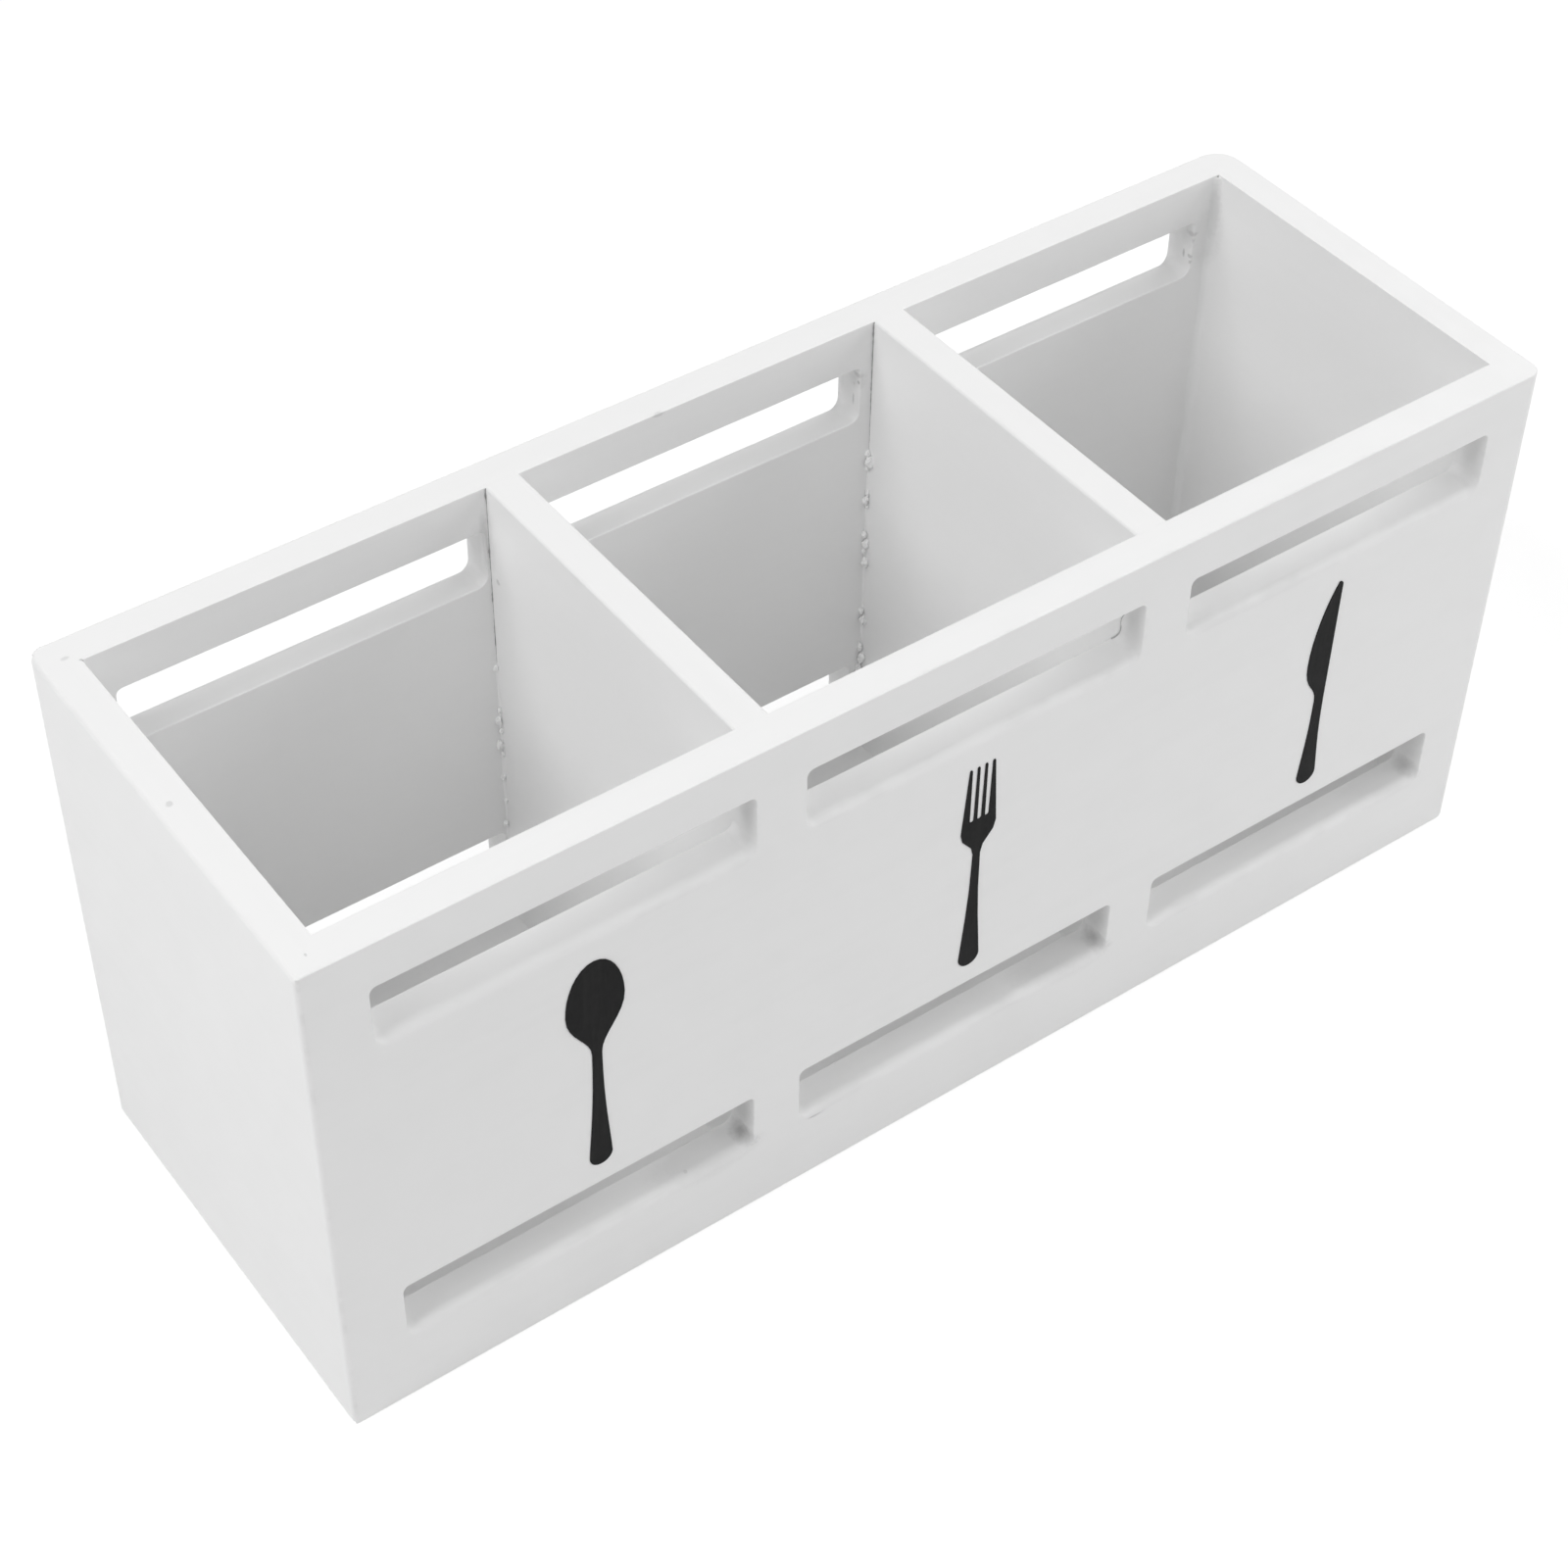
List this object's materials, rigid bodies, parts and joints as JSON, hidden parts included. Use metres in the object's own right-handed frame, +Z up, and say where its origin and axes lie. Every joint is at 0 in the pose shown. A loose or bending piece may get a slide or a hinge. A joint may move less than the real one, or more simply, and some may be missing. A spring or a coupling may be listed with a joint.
{
  "type": "utensil holder",
  "caption": "White painted wooden utensil holder, a long open-topped box in three compartments, with rows of slots in its long sides and black spoon, fork and knife figures on the front.",
  "frame": {"origin": "on the surface that the holder stands on, under the middle of the box", "axes": "+X along the long side, to the right as seen from the front; +Y from the front to the rear; +Z up, towards the open top. The front with the cutlery figures faces -Y."},
  "size_m": [0.3, 0.1022, 0.1315],
  "materials": {
    "white_paint": "white satin paint",
    "black_film": "satin",
    "pin_steel": "bright wire"
  },
  "bodies": {
    "root": {"front_panel": "white_paint", "rear_panel": "white_paint", "left_end_panel": "white_paint", "right_end_panel": "white_paint", "left_divider": "white_paint", "right_divider": "white_paint", "bottom_board": "white_paint", "spoon_decal": "black_film", "fork_decal": "black_film", "knife_decal": "black_film", "pin_front_left_divider_lower": "pin_steel", "pin_front_left_divider_upper": "pin_steel", "pin_front_right_divider_lower": "pin_steel", "pin_front_right_divider_upper": "pin_steel", "pin_front_bottom_left": "pin_steel", "pin_front_bottom_middle": "pin_steel", "pin_front_bottom_right": "pin_steel", "pin_rear_left_divider_lower": "pin_steel", "pin_rear_left_divider_upper": "pin_steel", "pin_rear_right_divider_lower": "pin_steel", "pin_rear_right_divider_upper": "pin_steel", "pin_rear_bottom_left": "pin_steel", "pin_rear_bottom_middle": "pin_steel", "pin_rear_bottom_right": "pin_steel"}
  },
  "joints": []
}
